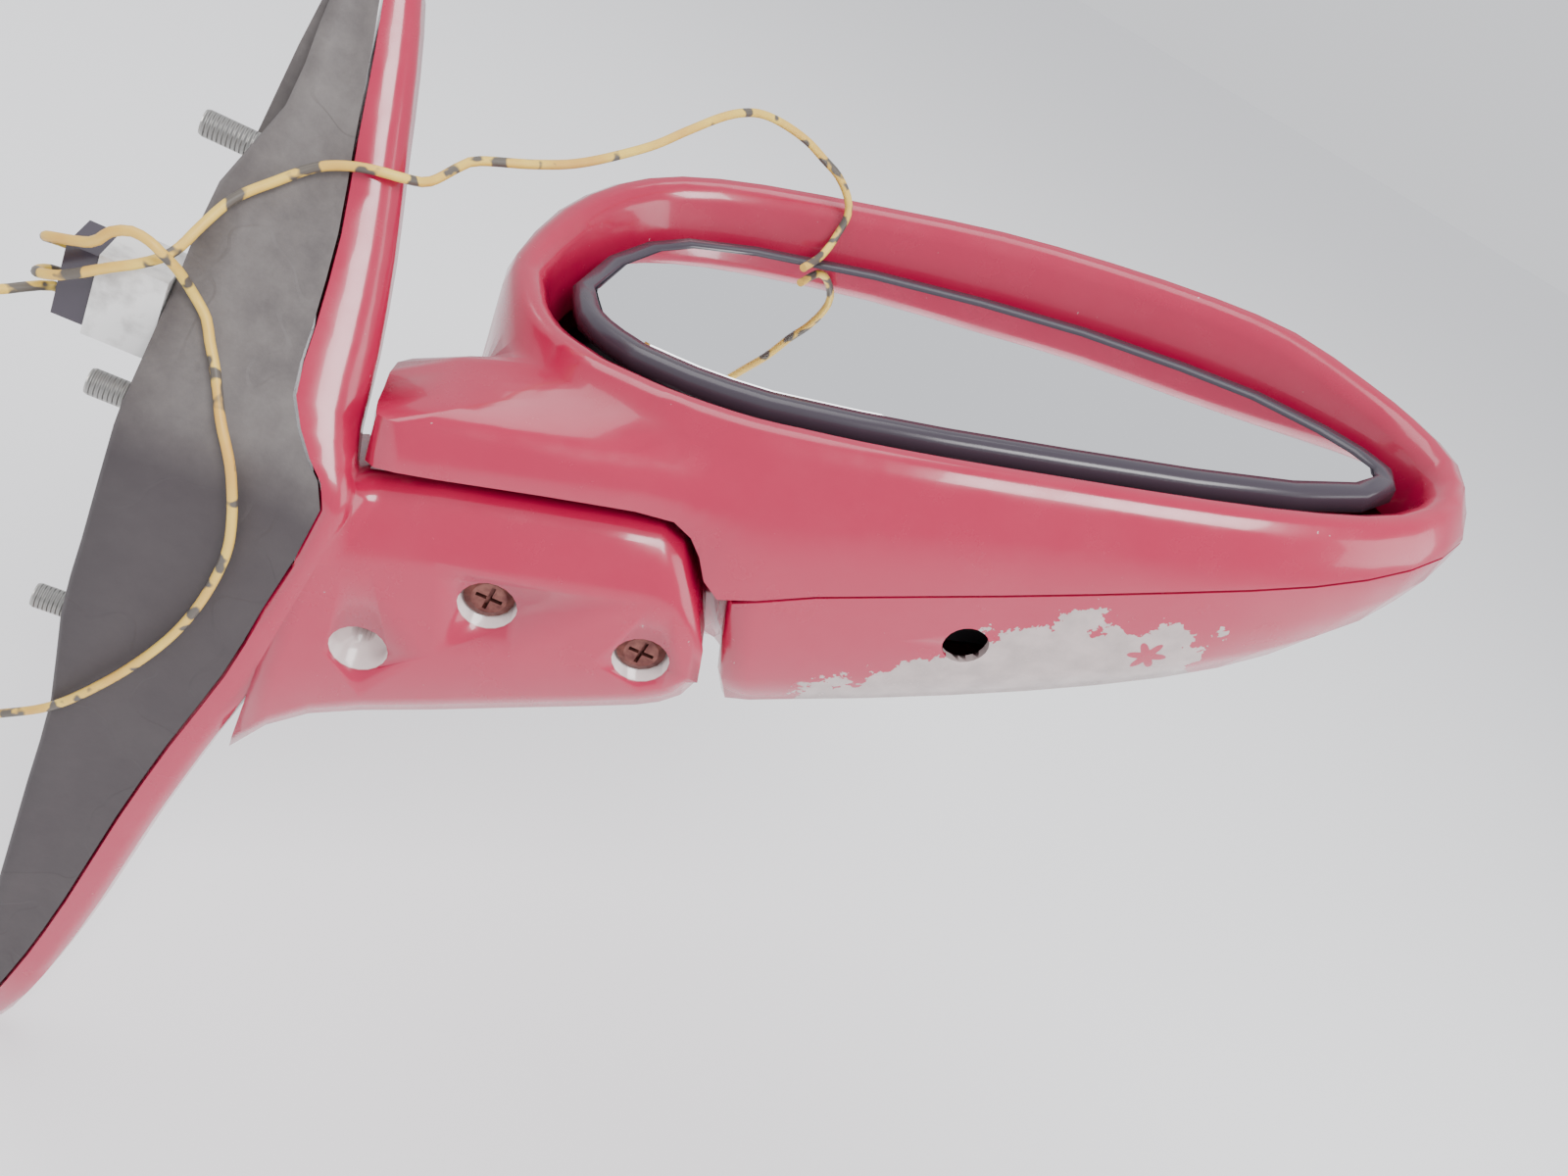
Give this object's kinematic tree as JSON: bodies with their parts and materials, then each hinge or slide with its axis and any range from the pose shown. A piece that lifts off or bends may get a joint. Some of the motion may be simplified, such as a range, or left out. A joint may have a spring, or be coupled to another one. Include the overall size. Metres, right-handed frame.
{
  "type": "car side mirror",
  "caption": "Folding car door mirror with a sail base, rubber gasket, painted visor and power-adjusted glass on a ball pivot.",
  "frame": {"origin": "a point on the bracket pad's flat face, where it meets the car door", "axes": "-X into the door, +Y up on the car, +Z to the rear of the car"},
  "size_m": [0.2872, 0.1182, 0.272],
  "materials": {
    "crimson_paint": "gloss",
    "gasket_rubber": "matt",
    "pressed_steel": "satin",
    "zinc_plated": "satin",
    "rusty_screw": "dull",
    "white_nylon": "satin",
    "dark_plastic": "gloss",
    "worm_brass": "satin",
    "mirror_coating": "polished",
    "foam_tape": "matt",
    "yellow_wire": "satin"
  },
  "bodies": {
    "base": {"sail_cover": "crimson_paint", "door_gasket": "gasket_rubber", "base_bracket": "pressed_steel", "stud_rear": "zinc_plated", "stud_middle": "zinc_plated", "stud_front": "zinc_plated", "foot_screw_inner": "rusty_screw", "foot_screw_outer": "rusty_screw", "fold_ear_1": "pressed_steel", "fold_ear_2": "pressed_steel", "fold_pin": "zinc_plated", "connector_housing": "white_nylon", "connector_hood": "dark_plastic", "wire_a": "yellow_wire", "wire_b": "yellow_wire", "wire_c": "yellow_wire"},
    "head": {"visor_shell": "crimson_paint", "lower_cover": "crimson_paint", "head_frame": "dark_plastic", "fold_arm": "pressed_steel", "actuator_case": "dark_plastic", "actuator_cover": "dark_plastic", "cover_screw_1": "zinc_plated", "cover_screw_2": "zinc_plated", "cover_screw_3": "zinc_plated", "cover_screw_4": "zinc_plated", "ball_post": "dark_plastic", "tilt_motor": "zinc_plated", "pan_motor": "zinc_plated", "tilt_worm": "worm_brass", "pan_worm": "worm_brass"},
    "tilt_gear": {"tilt_gear": "white_nylon"},
    "pan_gear": {"pan_gear": "white_nylon"},
    "tilt_plunger": {"tilt_plunger": "white_nylon"},
    "pan_plunger": {"pan_plunger": "white_nylon"},
    "pivot_ring": {"ball_ring": "white_nylon"},
    "glass": {"glass_holder": "dark_plastic", "glass_pad": "foam_tape", "mirror_glass": "mirror_coating"}
  },
  "joints": [
    {"name": "head_fold", "type": "hinge", "parent": "base", "child": "head", "pos_m": [0.04302, -0.0005, 0.01589], "axis": [0, -1, 0], "range_deg": [0, 45], "deforming": ["wire_a"]},
    {"name": "glass_tilt", "type": "hinge", "parent": "head", "child": "pivot_ring", "pos_m": [0.1476, 0.038, 0.04514], "axis": [0.9511, 0, 0.309], "range_deg": [-8, 8]},
    {"name": "glass_pan", "type": "hinge", "parent": "pivot_ring", "child": "glass", "pos_m": [0.1476, 0.038, 0.04514], "axis": [0, 1, 0], "range_deg": [-8, 8]},
    {"name": "tilt_plunger_slide", "type": "slide", "parent": "head", "child": "tilt_plunger", "axis": [-0.309, 0, 0.9511], "range_m": [-0.0036, 0.0036]},
    {"name": "pan_plunger_slide", "type": "slide", "parent": "head", "child": "pan_plunger", "axis": [-0.309, 0, 0.9511], "range_m": [-0.0039, 0.0039]},
    {"name": "tilt_gear_turn", "type": "hinge", "parent": "head", "child": "tilt_gear", "pos_m": [0.15255, 0.014, 0.02992], "axis": [-0.309, 0, 0.9511], "range_deg": [-215, 215]},
    {"name": "pan_gear_turn", "type": "hinge", "parent": "head", "child": "pan_gear", "pos_m": [0.17727, 0.038, 0.03795], "axis": [-0.309, 0, 0.9511], "range_deg": [-235, 235]}
  ],
  "couplings": [
    {"joint": "tilt_plunger_slide", "follows": "glass_tilt", "m_per_rad": -0.024},
    {"joint": "pan_plunger_slide", "follows": "glass_pan", "m_per_rad": -0.026},
    {"joint": "tilt_gear_turn", "follows": "glass_tilt", "ratio": 25.133},
    {"joint": "pan_gear_turn", "follows": "glass_pan", "ratio": 27.227}
  ]
}
